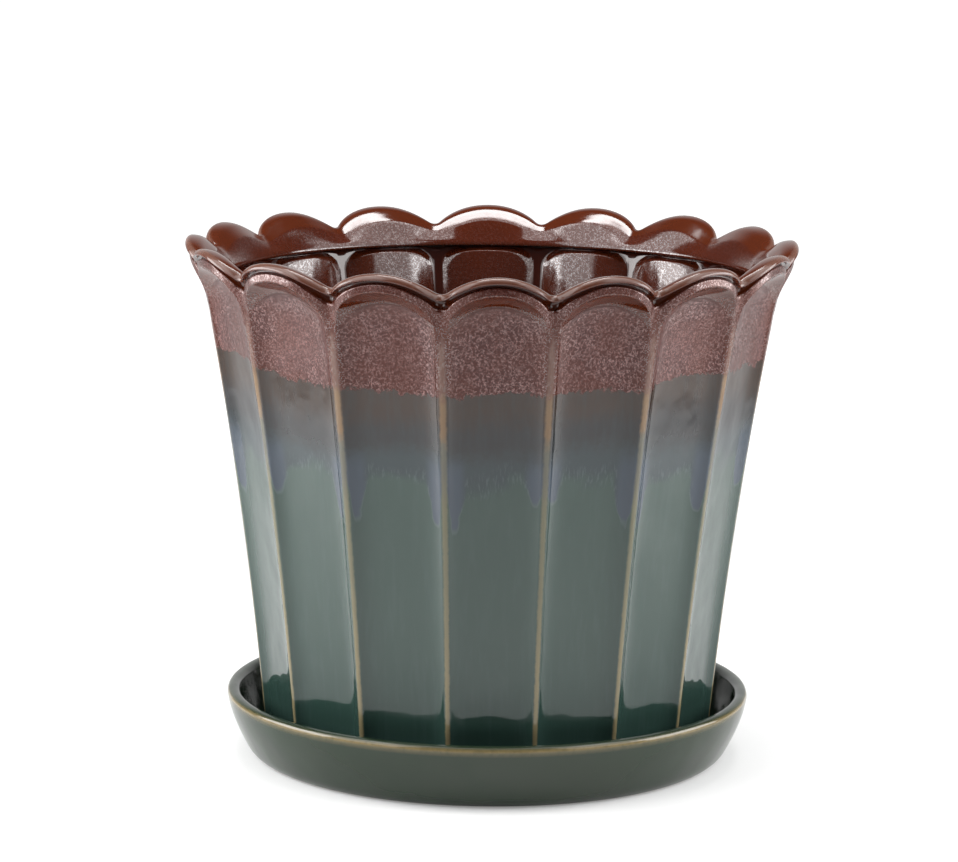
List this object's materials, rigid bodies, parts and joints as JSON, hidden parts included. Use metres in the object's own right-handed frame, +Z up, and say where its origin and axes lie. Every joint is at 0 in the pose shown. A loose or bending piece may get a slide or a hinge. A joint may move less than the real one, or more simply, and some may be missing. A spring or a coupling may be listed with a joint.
{
  "type": "planter pot",
  "caption": "Glazed ceramic planter pot with a fluted tapering wall and a flared petal rim, standing in its own round drip saucer.",
  "frame": {"origin": "middle of the saucer's foot ring, on the surface that the saucer stands on", "axes": "+Z up along the axis of the pot and the saucer; a petal of the rim faces -Y"},
  "size_m": [0.2112, 0.2112, 0.1802],
  "materials": {
    "pot_glaze": "glossy",
    "saucer_glaze": "glossy"
  },
  "bodies": {
    "saucer": {"saucer": "saucer_glaze"},
    "pot": {"fluted_pot": "pot_glaze"}
  },
  "joints": [
    {"name": "pot_lift", "type": "slide", "parent": "saucer", "child": "pot", "axis": [0, 0, 1], "range_m": [0, 0.1]}
  ]
}
